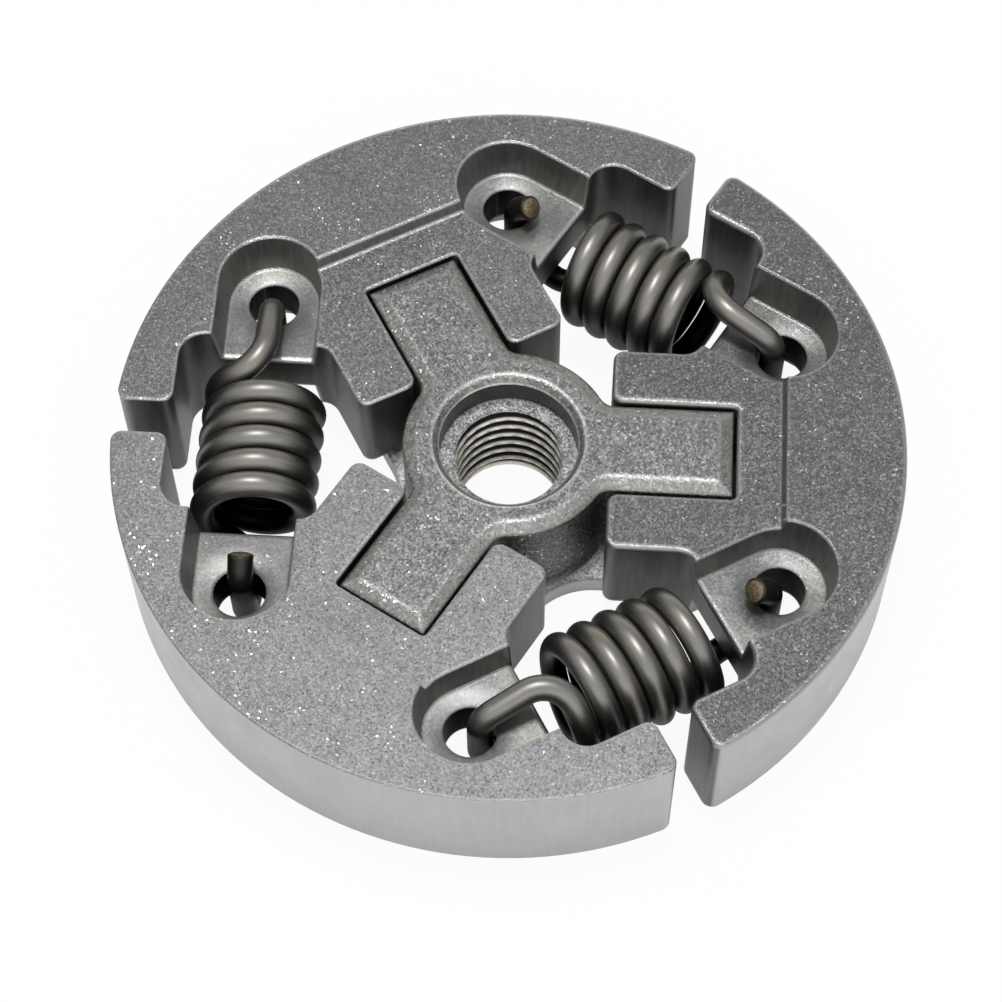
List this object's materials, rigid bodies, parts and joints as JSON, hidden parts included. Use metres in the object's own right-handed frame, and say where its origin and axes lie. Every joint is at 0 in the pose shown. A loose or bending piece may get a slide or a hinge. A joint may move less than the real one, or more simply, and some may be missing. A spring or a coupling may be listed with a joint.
{
  "type": "chainsaw clutch",
  "caption": "Centrifugal clutch for a chainsaw: sintered shoes slide out along the arms of a threaded hub, against hooked coil springs that draw them together.",
  "frame": {"origin": "on the bore's axis, in the plane of the hub's flat base", "axes": "+Z along the bore, from the hub's flange to its counterbored face; +X along the arm of shoe_1"},
  "size_m": [0.0634, 0.0634, 0.0124],
  "materials": {
    "hub": "sintered, fine bright grain, smoother bevels",
    "shoe": "sintered, fine grain, satin friction face",
    "spring": "oil-tempered dark wire, glossy"
  },
  "bodies": {
    "hub": {"hub": "hub"},
    "shoe_1": {"shoe_1": "shoe"},
    "shoe_2": {"shoe_2": "shoe"},
    "shoe_3": {"shoe_3": "shoe"},
    "spring_1": {"spring_1": "spring"},
    "spring_2": {"spring_2": "spring"},
    "spring_3": {"spring_3": "spring"}
  },
  "joints": [
    {"name": "shoe_1_slide", "type": "slide", "parent": "hub", "child": "shoe_1", "axis": [1, 0, 0], "range_m": [0, 0.00125], "stiffness_N_per_m": 1500, "springref_m": -0.0005},
    {"name": "shoe_2_slide", "type": "slide", "parent": "hub", "child": "shoe_2", "axis": [-0.5, 0.866, 0], "range_m": [0, 0.00125], "stiffness_N_per_m": 1500, "springref_m": -0.0005},
    {"name": "shoe_3_slide", "type": "slide", "parent": "hub", "child": "shoe_3", "axis": [-0.5, -0.866, 0], "range_m": [0, 0.00125], "stiffness_N_per_m": 1500, "springref_m": -0.0005},
    {"name": "spring_1_stretch", "type": "slide", "parent": "shoe_1", "child": "spring_1", "axis": [-0.866, 0.5, 0], "range_m": [0, 0.00217], "deforming": ["spring_1"]},
    {"name": "spring_2_stretch", "type": "slide", "parent": "shoe_2", "child": "spring_2", "axis": [0, -1, 0], "range_m": [0, 0.00217], "deforming": ["spring_2"]},
    {"name": "spring_3_stretch", "type": "slide", "parent": "shoe_3", "child": "spring_3", "axis": [0.866, 0.5, 0], "range_m": [0, 0.00217], "deforming": ["spring_3"]}
  ],
  "couplings": [
    {"joint": "shoe_2_slide", "follows": "shoe_1_slide", "ratio": 1},
    {"joint": "shoe_3_slide", "follows": "shoe_1_slide", "ratio": 1},
    {"joint": "spring_1_stretch", "follows": "shoe_1_slide", "ratio": 1.7321},
    {"joint": "spring_2_stretch", "follows": "shoe_1_slide", "ratio": 1.7321},
    {"joint": "spring_3_stretch", "follows": "shoe_1_slide", "ratio": 1.7321}
  ]
}
